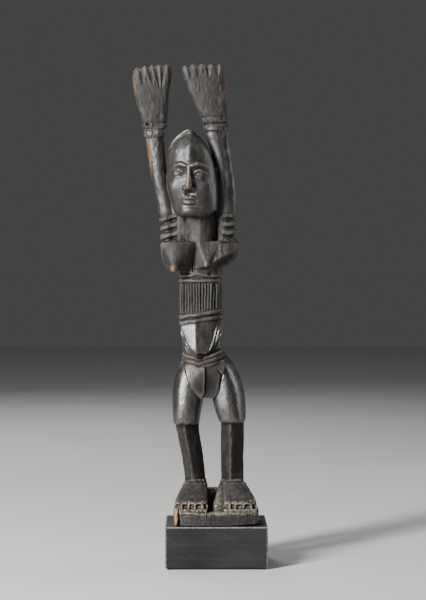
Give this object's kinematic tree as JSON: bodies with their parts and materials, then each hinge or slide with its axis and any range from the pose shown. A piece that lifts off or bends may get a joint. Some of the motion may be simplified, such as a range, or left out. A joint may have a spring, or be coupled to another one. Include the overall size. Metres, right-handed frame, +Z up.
{
  "type": "carved standing figure",
  "caption": "Slender carved wooden standing figure with raised arms and ringed limbs on its own foot slab, lifting off pins in a low rectangular plinth.",
  "frame": {"origin": "middle of the plinth's underside, which is the underside of its felt", "axes": "+Z up the figure, the figure faces -Y, +X is the viewer's right when looking at its face"},
  "size_m": [0.1279, 0.075, 0.4748],
  "materials": {
    "carved_wood": "dark brown-black handled patina, glossy on the high places and dusty in the cuts",
    "black_wood": "blackened hardwood, satin, fine horizontal grain",
    "pin_steel": "bright drawn steel rod",
    "felt": "thin black felt"
  },
  "bodies": {
    "plinth": {"plinth_block": "black_wood", "mount_pin_left": "pin_steel", "mount_pin_right": "pin_steel", "felt_pad": "felt"},
    "figure": {"carved_figure": "carved_wood"}
  },
  "joints": [
    {"name": "figure_lift", "type": "slide", "parent": "plinth", "child": "figure", "axis": [0, 0, 1], "range_m": [0, 0.03]}
  ]
}
